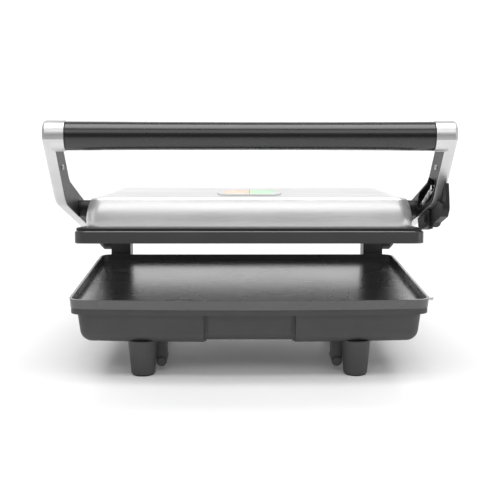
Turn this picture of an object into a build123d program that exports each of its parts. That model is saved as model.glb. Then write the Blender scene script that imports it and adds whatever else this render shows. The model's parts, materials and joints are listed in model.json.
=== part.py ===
from build123d import *
import math
import os

os.makedirs("parts", exist_ok=True)

# Panini press, in millimetres. +X is the user's right, +Y is the back, +Z is up.
# The origin is the middle of the press's bounding box, at the surface that it stands on.
# The model is made with the lid held open above the food. "reach" is the distance
# in front of the rear hinge axis.

# ---- driving dimensions ------------------------------------------------------
HINGE_Y = 129.5          # rear hinge axis
HINGE_Z = 90.0
PLATE_REACH = 131.0      # middle of the lower plate
PLATE_Y = HINGE_Y - PLATE_REACH

RIM_W, RIM_D = 320.0, 230.0      # outside of the lower plate's rim
FRONT_BOW = 6.8                  # how far the front edge bows forward
FOOT_H = 31.0
FLANGE_Z = 58.5                  # underside of the housing's flange
SEAM_Z = 63.6                    # joint between housing and plate
WEB_Z = 60.8                     # underside of the lower plate
TRAY_Z = 65.0                    # cooking surface of the lower plate
RIM_Z = 72.0
WALL = 2.6                       # moulded plastic wall
FLOOR = 3.8

ARM_IN, ARM_OUT = 163.0, 172.5   # inner and outer faces of the arms
CAP_IN = 154.5                   # inner end of the handle caps
HANDLE_REACH, HANDLE_Z = 262.0, 216.0
CAP_R = 13.0
TUBE_R = 8.0

PIVOT_REACH, PIVOT_Z = 140.0, 139.0   # lid pivot, with the lid held open
LID_TILT = 7.0                        # front of the lid is up by this angle
PLATE_DROP = 30.5                     # lid pivot to the underside of the upper plate
UP_W, UP_D = 311.0, 212.0             # upper plate
UP_FRONT = 90.0                       # lid pivot to the front of the upper plate
UP_RIM = 11.0                         # height of the upper plate's edge
LIP_T = 2.7                           # black lip between plate and cover
COVER_W, COVER_D = 292.5, 202.0
COVER_WALL_H = 26.4
COVER_BEVEL_H = 10.0
SHEET = 1.2                           # steel sheet of the cover

LEVER_REACH, LEVER_Z = 190.0, 136.0   # pin of the height lever
LEVER_SWING = 75.0
NOTCH_R = 18.6                        # lever pin to the hook notch
CLOSE_GAP = 1.5                       # plate to plate, shut on nothing

# ---- places worked out from them --------------------------------------------
UP_Y = UP_D / 2 - UP_FRONT            # middle of the upper plate, behind the pivot
COVER_Y = UP_Y - 1.0
RIM_B = -PLATE_DROP + UP_RIM          # heights in the lid are measured from its pivot
LIP_B = RIM_B + 0.3
COVER_B = LIP_B + LIP_T
COVER_TOP = COVER_B + COVER_WALL_H + COVER_BEVEL_H

pivot_rise = PIVOT_Z - HINGE_Z
pivot_radius = math.hypot(PIVOT_REACH, pivot_rise)
closed_rise = TRAY_Z + CLOSE_GAP + PLATE_DROP - HINGE_Z
CLOSE_DEG = math.degrees(math.atan2(pivot_rise, PIVOT_REACH) - math.asin(closed_rise / pivot_radius))

tilt = math.radians(LID_TILT)
LID = Plane(
    origin=(0, HINGE_Y - PIVOT_REACH, PIVOT_Z),
    x_dir=(1, 0, 0),
    z_dir=(0, math.sin(tilt), math.cos(tilt)),
)


def lower(reach, height, degrees):
    """Turn a (reach, height) pair forward and down about the origin."""
    a = math.radians(degrees)
    return (
        reach * math.cos(a) + height * math.sin(a),
        height * math.cos(a) - reach * math.sin(a),
    )


NOTCH_DEG = -5.5
NOTCH = (NOTCH_R * math.cos(math.radians(NOTCH_DEG)), NOTCH_R * math.sin(math.radians(NOTCH_DEG)))
swung = lower(*NOTCH, LEVER_SWING)
shut = lower(LEVER_REACH + swung[0], LEVER_Z + swung[1] - HINGE_Z, CLOSE_DEG)
PEG_REACH, PEG_Z = shut[0], HINGE_Z + shut[1]
PEG_R = 2.2


def side(reach, z):
    """A point of a side view, for sketches on Plane.YZ."""
    return (HINGE_Y - reach, z)


def side_line(points, radii):
    """Closed side-view outline with rounded corners."""
    return FilletPolyline(*[side(*p) for p in points], radius=radii, close=True)


def bowed_outline(width, depth, radius, bow=FRONT_BOW):
    """Rectangle about the sketch's origin, with a front edge that bows forward."""
    w, d = width / 2, depth / 2
    with BuildSketch(mode=Mode.PRIVATE) as outline:
        with BuildLine():
            Polyline((w, -d), (w, d), (-w, d), (-w, -d))
            ThreePointArc((-w, -d), (0, -d - bow), (w, -d))
        make_face()
        fillet(outline.vertices(), radius)
    return outline.sketch


def finish(piece, name):
    """Label a finished piece and write it."""
    piece.part.label = name
    export_step(piece.part, f"parts/{name}.step")


BASE = Plane(origin=(0, PLATE_Y, 0), x_dir=(1, 0, 0), z_dir=(0, 0, 1))

# ============================ lower unit ======================================
BODY_W, BODY_D = 308.0, 220.0
DRAFT = 7.0
GROOVE_X = 38.7
FOOT_X, FOOT_FRONT, FOOT_REAR = 96.0, -98.5, 92.0
FOOT_TOP_R, FOOT_LOW_R = 13.4, 10.8
PAD_R, PAD_T = 9.6, 1.0          # rubber pad under a foot
SOCKET_R = 8.2                   # hollow in the foot that holds the pad's plug
FOOT_SPOTS = [(x, y) for x in (-FOOT_X, FOOT_X) for y in (FOOT_FRONT, FOOT_REAR)]
CLEAT_X, CLEAT_Y = 80.0, -82.0
CLEAT_W, CLEAT_D = 9.5, 18.0
CLEAT_LOW = 4.6                  # gap under a cleat
CLEAT_PEG = 7.0                  # length of the round end that keeps the cord on
SCREW_SPOTS = [(x, y) for x in (-112, 112) for y in (-74, 74)]
BOSS_Z = 50.0
BOSS_R = 5.5
SCREW_R = 2.0
SCREW_HEAD_R = 4.0
RIM_TAPER = 5.0                  # the plate's rim leans out by this angle
TOWER_X = 139.0
TOWER_W = 21.0
PAD_Z = 43.0                     # lowest point of the pads that carry the hinge towers
GLAND_X, GLAND_Z = -70.0, 45.0
GLAND_BORE_R, GLAND_NECK_R, GLAND_COLLAR_R = 3.7, 7.0, 9.5
ELEMENT_R = 3.25                 # sheath of a heating element
ELEMENT_Z = WEB_Z - 3.6
body_h = FLANGE_Z - FOOT_H


def housing_form(inset):
    """Outer form of the housing below its flange, drawn in by the inset."""
    with BuildPart() as form:
        with BuildSketch(BASE.offset(FLANGE_Z)):
            add(bowed_outline(BODY_W - 2 * inset, BODY_D - 2 * inset, 12 - inset))
        extrude(amount=-body_h, taper=DRAFT)
        fillet(form.faces().sort_by(Axis.Z)[0].edges(), 11)
    return form.part


def front_cut(spots, width, depth, step):
    """Material in front of the inset housing form, in bands that start one step up."""
    inner = housing_form(depth)
    with BuildPart() as cut:
        with BuildSketch(BASE.offset(FLANGE_Z)):
            with Locations(*[(x, -BODY_D / 2) for x in spots]):
                Rectangle(width, 28)
        extrude(amount=-body_h - 1)
        add(inner.moved(Location((0, 0, step))), mode=Mode.SUBTRACT)
    return cut.part


front_recess = front_cut([0], 2 * GROOVE_X, 1.5, 2.2)
front_grooves = front_cut([-GROOVE_X, GROOVE_X], 4.0, 3.2, 0)

with BuildPart() as lower_housing:
    add(housing_form(0))
    with BuildSketch(BASE.offset(FLANGE_Z)):
        add(bowed_outline(RIM_W - 2.4, RIM_D - 2.4, 11))
    extrude(amount=SEAM_Z - FLANGE_Z)
    with BuildSketch(BASE.offset(SEAM_Z)):
        add(bowed_outline(BODY_W - 2 * WALL, BODY_D - 2 * WALL, 10))
    extrude(amount=-(SEAM_Z - FLANGE_Z), mode=Mode.SUBTRACT)
    with BuildSketch(BASE.offset(FLANGE_Z)):
        add(bowed_outline(BODY_W - 2 * WALL, BODY_D - 2 * WALL - 5, 10))
    extrude(amount=-(body_h - FLOOR), taper=DRAFT + 3, mode=Mode.SUBTRACT)
    # the front's middle section stands back between two grooves
    add(front_recess, mode=Mode.SUBTRACT)
    add(front_grooves, mode=Mode.SUBTRACT)
    # feet
    with BuildSketch(BASE.offset(FOOT_H + 1.5)):
        with Locations(*FOOT_SPOTS):
            Circle(FOOT_TOP_R)
    extrude(amount=-(FOOT_H + 0.5), taper=math.degrees(math.atan((FOOT_TOP_R - FOOT_LOW_R) / FOOT_H)))
    fillet(lower_housing.edges().filter_by(GeomType.CIRCLE).group_by(Axis.Z)[0], 1.2)
    with BuildSketch(BASE.offset(1.0)):
        with Locations(*FOOT_SPOTS):
            Circle(SOCKET_R)
    extrude(amount=1.6, mode=Mode.SUBTRACT)
    # screw bosses under the plate
    with BuildSketch(BASE.offset(FOOT_H + 2)):
        with Locations(*SCREW_SPOTS):
            Circle(BOSS_R)
    extrude(amount=BOSS_Z - 0.4 - FOOT_H - 2)
    with BuildSketch(BASE.offset(FOOT_H - 1)):
        with Locations(*SCREW_SPOTS):
            Circle(SCREW_R + 0.3)
    extrude(amount=25, mode=Mode.SUBTRACT)
    with BuildSketch(BASE.offset(FOOT_H - 1)):
        with Locations(*SCREW_SPOTS):
            Circle(SCREW_HEAD_R + 0.6)
    extrude(amount=6, mode=Mode.SUBTRACT)
    # flat pads that the hinge towers bolt to
    with BuildSketch(BASE.offset(PAD_Z)):
        with Locations((-TOWER_X, BODY_D / 2 - 3.2), (TOWER_X, BODY_D / 2 - 3.2)):
            Rectangle(TOWER_W, 6.6)
    extrude(amount=FLANGE_Z - PAD_Z)
    # vents in the floor
    with BuildSketch(BASE.offset(FOOT_H - 1)):
        with GridLocations(0, 11, 1, 7):
            SlotOverall(90, 4)
    extrude(amount=6, mode=Mode.SUBTRACT)
    # hole for the cord gland
    with BuildSketch(Plane.XZ.offset(-(PLATE_Y + BODY_D / 2 + 5))):
        with Locations((GLAND_X, GLAND_Z)):
            Circle(GLAND_NECK_R + 0.1)
    extrude(amount=20, mode=Mode.SUBTRACT)
    # hole for the catch peg
    with BuildSketch(Plane.YZ.offset(152)):
        with Locations(side(PEG_REACH, PEG_Z)):
            Circle(PEG_R)
    extrude(amount=12, mode=Mode.SUBTRACT)
finish(lower_housing, "lower_housing")

with BuildPart() as lower_plate:
    with BuildSketch(BASE.offset(SEAM_Z)):
        add(bowed_outline(RIM_W - 1.6, RIM_D - 1.6, 11))
    extrude(amount=RIM_Z - SEAM_Z, taper=-RIM_TAPER)
    with BuildSketch(BASE.offset(WEB_Z)):
        add(bowed_outline(BODY_W - 2 * WALL - 1.2, BODY_D - 2 * WALL - 1.2, 9))
    extrude(amount=SEAM_Z - WEB_Z)
    with BuildSketch(BASE.offset(TRAY_Z)):
        add(bowed_outline(RIM_W - 5.2, RIM_D - 5.2, 9))
    extrude(amount=RIM_Z - TRAY_Z + 1, taper=-2.5, mode=Mode.SUBTRACT)
    with BuildSketch(BASE.offset(BOSS_Z)):
        with Locations(*SCREW_SPOTS):
            Circle(4.6)
    extrude(amount=WEB_Z - BOSS_Z)
    with BuildSketch(BASE.offset(BOSS_Z)):
        with Locations(*SCREW_SPOTS):
            Circle(2.05)
    extrude(amount=12.5, mode=Mode.SUBTRACT)
finish(lower_plate, "lower_plate")

with BuildPart() as lower_heating_element:
    with BuildLine(BASE.offset(ELEMENT_Z)) as loop:
        FilletPolyline(
            (-16, 70), (-16, 40), (-125, 40), (-125, -60), (125, -60), (125, 40), (16, 40), (16, 70),
            radius=14,
        )
    with BuildSketch(Plane(origin=loop.line @ 0, z_dir=loop.line % 0)):
        Circle(ELEMENT_R)
    sweep()
finish(lower_heating_element, "lower_heating_element")

with BuildPart() as lower_reflector:
    with BuildSketch(BASE.offset(46)):
        RectangleRounded(276, 176, 10)
    extrude(amount=6)
    with BuildSketch(BASE.offset(46.6)):
        RectangleRounded(274.8, 174.8, 9.4)
    extrude(amount=6, mode=Mode.SUBTRACT)
    with BuildSketch(BASE.offset(45)):
        with Locations(*SCREW_SPOTS):
            Circle(6.2)
        with Locations((-16, 70), (16, 70)):
            Circle(5)
    extrude(amount=3, mode=Mode.SUBTRACT)
finish(lower_reflector, "lower_reflector")

with BuildPart(BASE.offset(WEB_Z - 0.1)) as lower_thermostat:
    Cylinder(8, 6.5, align=(Align.CENTER, Align.CENTER, Align.MAX))
    with BuildSketch(BASE.offset(WEB_Z - 0.1)):
        SlotOverall(34, 8)
        with GridLocations(26, 0, 2, 1):
            Circle(1.7, mode=Mode.SUBTRACT)
    extrude(amount=-1)
    with Locations((0, 0, -6.5)):
        Box(10, 4, 2.5, align=(Align.CENTER, Align.CENTER, Align.MAX))
finish(lower_thermostat, "lower_thermostat")

with BuildPart(BASE.offset(WEB_Z - 0.1)) as thermal_fuse:
    with Locations((45, 0, -2.2)):
        Cylinder(2, 12, rotation=(0, 90, 0))
        Cylinder(0.6, 40, rotation=(0, 90, 0))
finish(thermal_fuse, "thermal_fuse")

with BuildPart(BASE.offset(FOOT_H + FLOOR + 0.1)) as terminal_block:
    with Locations((-40, 80, 0)):
        Box(34, 16, 9, align=(Align.CENTER, Align.CENTER, Align.MIN))
    with BuildSketch(BASE.offset(FOOT_H + 14)):
        with Locations((-40, 80)):
            with GridLocations(10, 0, 3, 1):
                Circle(2.2)
    extrude(amount=-7, mode=Mode.SUBTRACT)
finish(terminal_block, "terminal_block")

with BuildPart() as lower_plate_screws:
    with BuildSketch(BASE.offset(FOOT_H + 1.2)):
        with Locations(*SCREW_SPOTS):
            Circle(SCREW_HEAD_R)
    extrude(amount=2.8)
    with BuildSketch(BASE.offset(FOOT_H + 4)):
        with Locations(*SCREW_SPOTS):
            Circle(SCREW_R)
    extrude(amount=26)
    with BuildSketch(BASE.offset(FOOT_H + 1.2)):
        with Locations(*SCREW_SPOTS):
            Rectangle(4.4, 1)
            Rectangle(1, 4.4)
    extrude(amount=1.4, mode=Mode.SUBTRACT)
finish(lower_plate_screws, "lower_plate_screws")

with BuildPart() as foot_pads:
    with BuildSketch(BASE):
        with Locations(*FOOT_SPOTS):
            Circle(PAD_R)
    extrude(amount=PAD_T)
    with BuildSketch(BASE.offset(PAD_T)):
        with Locations(*FOOT_SPOTS):
            Circle(SOCKET_R - 0.1)
    extrude(amount=1.5)
finish(foot_pads, "foot_pads")


def make_cleat(x):
    """Hook under the housing that the cord is wound round."""
    front = PLATE_Y + CLEAT_Y - CLEAT_D / 2
    half = CLEAT_W / 2
    low = CLEAT_LOW + half
    with BuildPart() as cleat:
        with BuildSketch(Plane.XZ.offset(-front)):
            with Locations((x, low)):
                Circle(half)
                Rectangle(CLEAT_W, FOOT_H - 0.05 - low, align=(Align.CENTER, Align.MIN))
        extrude(amount=-CLEAT_D)
        with BuildSketch(Plane.XZ.offset(-front)):
            with Locations((x, low)):
                Circle(half - 0.8)
        extrude(amount=2.2)
        with BuildSketch(Plane.XZ.offset(-front - CLEAT_D)):
            with Locations((x, low)):
                Circle(half)
        extrude(amount=-CLEAT_PEG)
    return cleat


cord_cleat_left = make_cleat(-CLEAT_X)
finish(cord_cleat_left, "cord_cleat_left")
cord_cleat_right = make_cleat(CLEAT_X)
finish(cord_cleat_right, "cord_cleat_right")

with BuildPart() as catch_peg:
    with BuildSketch(Plane.YZ.offset(154.4)):
        with Locations(side(PEG_REACH, PEG_Z)):
            Circle(PEG_R - 0.02)
    extrude(amount=17.8)
    fillet(catch_peg.faces().sort_by(Axis.X)[-1].edges(), 0.8)
finish(catch_peg, "catch_peg")

with BuildPart() as cord_gland:
    gland_axis = Axis((GLAND_X, 0, GLAND_Z), (0, 1, 0))
    wall_y = PLATE_Y + BODY_D / 2 - 0.2
    with BuildSketch(Plane(origin=(GLAND_X, wall_y, GLAND_Z), x_dir=(1, 0, 0), z_dir=(0, 0, 1))):
        with BuildLine():
            Polyline(
                (GLAND_BORE_R, -11.4), (GLAND_COLLAR_R, -11.4), (GLAND_COLLAR_R, -9.2),
                (GLAND_NECK_R, -9.2), (GLAND_NECK_R, 0), (GLAND_COLLAR_R, 0), (GLAND_COLLAR_R, 2),
                (6.6, 5), (5.2, 22), (GLAND_BORE_R, 22), close=True,
            )
        make_face()
    revolve(axis=gland_axis)
finish(cord_gland, "cord_gland")

# ============================ rear hinge =====================================
TOWER_R = 13.0
PIN_R = 3.5
TOWER_FACE_Y = PLATE_Y + BODY_D / 2 + 0.15
TOWER_SCREW_Z = 49.0
TOWER_SCREW_DX = 5.5             # each side of the tower's middle
TOWER_SCREWS = [
    (s * TOWER_X + dx, TOWER_SCREW_Z) for s in (-1, 1) for dx in (-TOWER_SCREW_DX, TOWER_SCREW_DX)
]
HINGE_PIN_IN = 126.5             # inner end of a hinge pin
HINGE_PIN_LENGTH = 37.0


def make_tower(x):
    """Bracket at the back of the housing that holds one hinge pin."""
    back = HINGE_Y - TOWER_FACE_Y
    with BuildPart() as tower:
        with BuildSketch(Plane.YZ.offset(x - TOWER_W / 2)):
            with BuildLine():
                side_line(
                    [(back, PAD_Z), (back, 58.2), (14.6, 58.2), (14.6, 74), (TOWER_R, HINGE_Z),
                     (-TOWER_R, HINGE_Z), (-TOWER_R, 70), (-5, 55), (-1, PAD_Z)],
                    (1, 0.5, 0.5, 6, 1, 1, 12, 12, 3),
                )
            make_face()
            with Locations(side(0, HINGE_Z)):
                Circle(TOWER_R)
        extrude(amount=TOWER_W)
        with BuildSketch(Plane.YZ.offset(x - TOWER_W / 2 - 1)):
            with Locations(side(0, HINGE_Z)):
                Circle(PIN_R + 0.02)
        extrude(amount=TOWER_W + 2, mode=Mode.SUBTRACT)
        with BuildSketch(Plane.XZ.offset(-(TOWER_FACE_Y - 1))):
            with Locations((x - TOWER_SCREW_DX, TOWER_SCREW_Z), (x + TOWER_SCREW_DX, TOWER_SCREW_Z)):
                Circle(2.1)
        extrude(amount=-40, mode=Mode.SUBTRACT)
        with BuildSketch(Plane.XZ.offset(-(TOWER_FACE_Y + 12))):
            with Locations((x - TOWER_SCREW_DX, TOWER_SCREW_Z), (x + TOWER_SCREW_DX, TOWER_SCREW_Z)):
                Circle(4.2)
        extrude(amount=-30, mode=Mode.SUBTRACT)
    return tower


hinge_tower_left = make_tower(-TOWER_X)
finish(hinge_tower_left, "hinge_tower_left")
hinge_tower_right = make_tower(TOWER_X)
finish(hinge_tower_right, "hinge_tower_right")

with BuildPart() as tower_screws:
    with BuildSketch(Plane.XZ.offset(-(TOWER_FACE_Y + 12.1))):
        with Locations(*TOWER_SCREWS):
            Circle(3.8)
    extrude(amount=-2.6)
    with BuildSketch(Plane.XZ.offset(-(TOWER_FACE_Y + 12.1))):
        with Locations(*TOWER_SCREWS):
            Circle(2.0)
    extrude(amount=11.8)
finish(tower_screws, "tower_screws")


def make_hinge_pin(s):
    """Steel pin from a tower into the hub of an arm; s is -1 on the left."""
    with BuildPart() as pin:
        with BuildSketch(Plane.YZ.offset(s * HINGE_PIN_IN)):
            with Locations(side(0, HINGE_Z)):
                Circle(PIN_R)
        extrude(amount=s * HINGE_PIN_LENGTH)
        with BuildSketch(Plane.YZ.offset(s * HINGE_PIN_IN)):
            with Locations(side(0, HINGE_Z)):
                Circle(6)
        extrude(amount=s * 1.8)
        chamfer(pin.faces().sort_by(Axis.X)[-1 if s > 0 else 0].edges(), 0.6)
    return pin


hinge_pin_left = make_hinge_pin(-1)
finish(hinge_pin_left, "hinge_pin_left")
hinge_pin_right = make_hinge_pin(1)
finish(hinge_pin_right, "hinge_pin_right")

# ============================ arms and handle ================================
HEAD_FRONT = HANDLE_REACH + CAP_R
HEAD_REAR = HANDLE_REACH - CAP_R
HEAD_TOP = HANDLE_Z + CAP_R
HEAD_LOW = 203.4                 # underside of the cap, inboard of the arm
ARM_POINTS = [
    (-11, 79.5), (84.9, 112.8), (222, 153.5), (255, 191), (HEAD_FRONT, 213.6), (HEAD_FRONT, HEAD_TOP),
    (HEAD_REAR, HEAD_TOP), (222.5, 199.5), (197, 172), (104, 141), (-11, 101),
]
ARM_RADII = (9.5, 120, 40, 60, 0.8, 12.8, 12.8, 60, 22, 150, 9.5)
HUB_R = 15.0
HUB_IN = 150.3                   # inner face of a hub
SPIGOT_R = 7.5                   # hub's round nose in the arm
ARM_ROUND = 2.6                  # rounding of the arm's outer edges
COVER_DEPTH = 2.4
COVER_RIM = 0.8                  # bare edge of the arm round its inside cover
PIVOT_HOLE_R = 6.05
POCKET_FLOOR = 7.2               # depth in the right arm of the pocket for the lever's spring
LINER_BACK = POCKET_FLOOR - 0.1  # back of the black liner in that pocket
LINER_T = 0.8
LINER_RIM = 0.6                  # how far the liner stands out of the cover
POCKET = [
    (153, 139), (153, 152), (160, 157), (196, 169), (204, 175.5), (235, 176.5), (227, 164.5), (219, 157.3),
]


def on_side(s, x):
    """Side-view sketch plane at |x| on the left (-1) or right (1)."""
    return Plane.YZ.offset(s * x)


def arm_profile():
    """Side view of an arm, without its handle cap."""
    with BuildSketch(mode=Mode.PRIVATE) as profile:
        with BuildLine():
            side_line(ARM_POINTS, ARM_RADII)
        make_face()
    return profile.sketch


def head_profile():
    """Side view of the cap round the end of the handle: a circle with the arm's flat front."""
    with BuildSketch(mode=Mode.PRIVATE) as head:
        add(arm_profile())
        with Locations(side(HANDLE_REACH - 4, HEAD_LOW)):
            Rectangle(60, 60, align=(Align.MAX, Align.MIN), mode=Mode.INTERSECT)
        with Locations(side(HANDLE_REACH, HANDLE_Z)):
            Circle(CAP_R)
    return head.sketch


def cover_profile(gap):
    """Side view of the plastic cover let into the inside of an arm."""
    return offset(arm_profile(), -COVER_RIM - gap, mode=Mode.PRIVATE)


def pocket_profile(grow):
    """Side view of the spring pocket in the right arm's cover."""
    with BuildSketch(mode=Mode.PRIVATE) as pocket:
        with BuildLine():
            side_line(POCKET, 3)
        make_face()
    return offset(pocket.sketch, grow, mode=Mode.PRIVATE) if grow else pocket.sketch


def make_arm(s):
    """Cast arm with the handle cap at its end."""
    with BuildPart() as arm:
        with BuildSketch(on_side(s, ARM_IN)):
            add(arm_profile())
        extrude(amount=s * (ARM_OUT - ARM_IN))
        outer = arm.faces().sort_by(Axis.X)[-1 if s > 0 else 0].outer_wire().edges()
        fillet(outer, ARM_ROUND)
        with BuildSketch(on_side(s, ARM_IN)):
            add(cover_profile(0))
        extrude(amount=s * COVER_DEPTH, mode=Mode.SUBTRACT)
        with BuildSketch(on_side(s, CAP_IN)):
            add(head_profile())
        extrude(amount=s * (ARM_IN + COVER_DEPTH - CAP_IN))
        with BuildSketch(on_side(s, CAP_IN)):
            with Locations(side(HANDLE_REACH, HANDLE_Z)):
                Circle(TUBE_R + 0.03)
        extrude(amount=s * 13, mode=Mode.SUBTRACT)
        with BuildSketch(on_side(s, ARM_IN)):
            with Locations(side(0, HINGE_Z)):
                Circle(SPIGOT_R)
            with Locations(side(PIVOT_REACH, PIVOT_Z)):
                Circle(PIVOT_HOLE_R)
        extrude(amount=s * 6.4, mode=Mode.SUBTRACT)
        if s > 0:
            with BuildSketch(on_side(s, ARM_IN)):
                add(pocket_profile(LINER_T + 0.15))
            extrude(amount=POCKET_FLOOR, mode=Mode.SUBTRACT)
    return arm


def make_arm_cover(s):
    """Black cover in the inner face of an arm."""
    with BuildPart() as cover:
        with BuildSketch(on_side(s, ARM_IN + 0.2)):
            add(cover_profile(0.15))
            add(offset(head_profile(), 0.3, mode=Mode.PRIVATE), mode=Mode.SUBTRACT)
            with Locations(side(0, HINGE_Z)):
                Circle(SPIGOT_R + 0.3, mode=Mode.SUBTRACT)
            with Locations(side(PIVOT_REACH, PIVOT_Z)):
                Circle(PIVOT_HOLE_R + 0.15, mode=Mode.SUBTRACT)
        extrude(amount=s * (COVER_DEPTH - 0.25))
        if s > 0:
            with BuildSketch(on_side(s, ARM_IN - LINER_RIM)):
                add(pocket_profile(LINER_T))
            extrude(amount=LINER_RIM + LINER_BACK)
            with BuildSketch(on_side(s, ARM_IN - LINER_RIM)):
                add(pocket_profile(0))
            extrude(amount=LINER_RIM + LINER_BACK - LINER_T, mode=Mode.SUBTRACT)
    return cover


def make_hub(s):
    """Bearing block at the rear end of an arm, round the hinge pin."""
    with BuildPart() as hub:
        with BuildSketch(on_side(s, HUB_IN)):
            with Locations(side(0, HINGE_Z)):
                Circle(HUB_R)
        extrude(amount=s * (ARM_IN - 0.1 - HUB_IN))
        chamfer(hub.faces().sort_by(Axis.X)[-1 if s > 0 else 0].edges(), 4.5)
        with BuildSketch(on_side(s, ARM_IN - 0.2)):
            with Locations(side(0, HINGE_Z)):
                Circle(SPIGOT_R - 0.05)
        extrude(amount=s * 6.4)
        with BuildSketch(on_side(s, HUB_IN - 0.3)):
            with Locations(side(0, HINGE_Z)):
                Circle(PIN_R + 0.05)
        extrude(amount=s * 14, mode=Mode.SUBTRACT)
    return hub


def make_lid_bush(s):
    """Bearing bush in an arm for the lid's pivot pin."""
    with BuildPart() as bush:
        with BuildSketch(on_side(s, ARM_IN + 0.1)):
            with Locations(side(PIVOT_REACH, PIVOT_Z)):
                Circle(PIVOT_HOLE_R - 0.03)
                Circle(4.05, mode=Mode.SUBTRACT)
        extrude(amount=s * 6)
    return bush


SIDES = {"left": -1, "right": 1}
for word, s in SIDES.items():
    finish(make_arm(s), f"arm_{word}")
    finish(make_arm_cover(s), f"arm_cover_{word}")
    finish(make_hub(s), f"arm_hub_{word}")
    finish(make_lid_bush(s), f"lid_bush_{word}")

SPRING_X = ARM_IN + 3.3
SPRING_R = 2.8
SPRING_WIRE = 0.9
SPRING_ENDS = [(165, 147), (205, 165)]
POST_SPOTS = [(160.6, 145), (209.4, 167)]
with BuildPart() as lever_spring:
    low_end, high_end = [Vector(SPRING_X, *side(*p)) for p in SPRING_ENDS]
    with BuildSketch(Plane(origin=low_end, z_dir=high_end - low_end)):
        Circle(SPRING_R)
        Circle(SPRING_R - SPRING_WIRE, mode=Mode.SUBTRACT)
    extrude(amount=(high_end - low_end).length)
finish(lever_spring, "lever_spring")

with BuildPart() as spring_posts:
    with BuildSketch(on_side(1, ARM_IN + 0.6)):
        with Locations(*[side(*p) for p in POST_SPOTS]):
            Circle(1.5)
    extrude(amount=LINER_BACK - LINER_T - 0.65)
    with BuildSketch(on_side(1, ARM_IN + 0.6)):
        with Locations(*[side(*p) for p in POST_SPOTS]):
            Circle(2.3)
    extrude(amount=1)
finish(spring_posts, "spring_posts")

COVER_SCREWS = [(60, 114), (232, 187)]
with BuildPart() as arm_cover_screws:
    for s in SIDES.values():
        with BuildSketch(on_side(s, ARM_IN - 0.9)):
            with Locations(*[side(*p) for p in COVER_SCREWS]):
                Circle(2.6)
        extrude(amount=s * 1.05)
finish(arm_cover_screws, "arm_cover_screws")

GRIP_R = 12.2
TUBE_END = 167.0                 # the steel tube ends inside the caps
with BuildPart() as handle_grip:
    grip_end = CAP_IN - 0.15
    handle_plane = Plane(
        origin=(0, HINGE_Y - HANDLE_REACH, HANDLE_Z), x_dir=(1, 0, 0), z_dir=(0, -1, 0)
    )
    with BuildSketch(handle_plane):
        with BuildLine():
            near, full = grip_end - 0.6, GRIP_R - 0.6
            Polyline(
                (-near, GRIP_R), (-grip_end, full), (-grip_end, 0),
                (grip_end, 0), (grip_end, full), (near, GRIP_R),
            )
            ThreePointArc((-near, GRIP_R), (0, GRIP_R - 0.45), (near, GRIP_R))
        make_face()
    revolve(axis=Axis((0, HINGE_Y - HANDLE_REACH, HANDLE_Z), (1, 0, 0)))
    with BuildSketch(on_side(-1, grip_end + 1)):
        with Locations(side(HANDLE_REACH, HANDLE_Z)):
            Circle(TUBE_R + 0.05)
    extrude(amount=2 * grip_end + 2, mode=Mode.SUBTRACT)
finish(handle_grip, "handle_grip")

with BuildPart() as handle_tube:
    with BuildSketch(on_side(-1, TUBE_END)):
        with Locations(side(HANDLE_REACH, HANDLE_Z)):
            Circle(TUBE_R)
            Circle(TUBE_R - 1.2, mode=Mode.SUBTRACT)
    extrude(amount=2 * TUBE_END)
finish(handle_tube, "handle_tube")

# ============================ height lever ===================================
LEVER_IN, LEVER_OUT = 165.9, 172.2
LEVER_PIN_R = 2.5
LEVER_STEP = 21.0                # height above the pin where the lever narrows
LEVER_STEP_X = 168.8
LEVER_OUTLINE = [                # measured from the pin
    (-3, 7.2), (9, 9.3), (30, 14.8), (49, 35.2), (54, 40.6), (62, 17), (56, 9.5), (28, 0.5),
    (19, -5.5), (-3, -7.2),
]
with BuildPart() as lever_bracket:
    with BuildSketch(on_side(1, ARM_IN + 0.3)):
        with BuildLine():
            side_line(
                [(149, 131), (152.5, 123.5), (160, 121), (184, 126), (199, 130), (201, 146.4)],
                (0.6, 3, 4, 20, 7, 0.6),
            )
        make_face()
    extrude(amount=2.3)
    with BuildSketch(on_side(1, ARM_IN + 2.6)):
        with BuildLine():
            side_line(
                [(149, 131), (152.5, 123.5), (160, 121), (180, 125), (180, 140.2)],
                (0.6, 3, 4, 2, 0.6),
            )
        make_face()
    extrude(amount=LEVER_OUT - ARM_IN - 2.6)
    with BuildSketch(on_side(1, ARM_IN)):
        with Locations(side(LEVER_REACH, LEVER_Z)):
            Circle(LEVER_PIN_R + 0.02)
    extrude(amount=12, mode=Mode.SUBTRACT)
finish(lever_bracket, "lever_bracket")

with BuildPart() as lever_pin:
    with BuildSketch(on_side(1, ARM_IN - 1.4)):
        with Locations(side(LEVER_REACH, LEVER_Z)):
            Circle(LEVER_PIN_R)
    extrude(amount=11)
    with BuildSketch(on_side(1, ARM_IN - 1.6)):
        with Locations(side(LEVER_REACH, LEVER_Z)):
            Circle(4)
    extrude(amount=1.6)
finish(lever_pin, "lever_pin")

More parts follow.
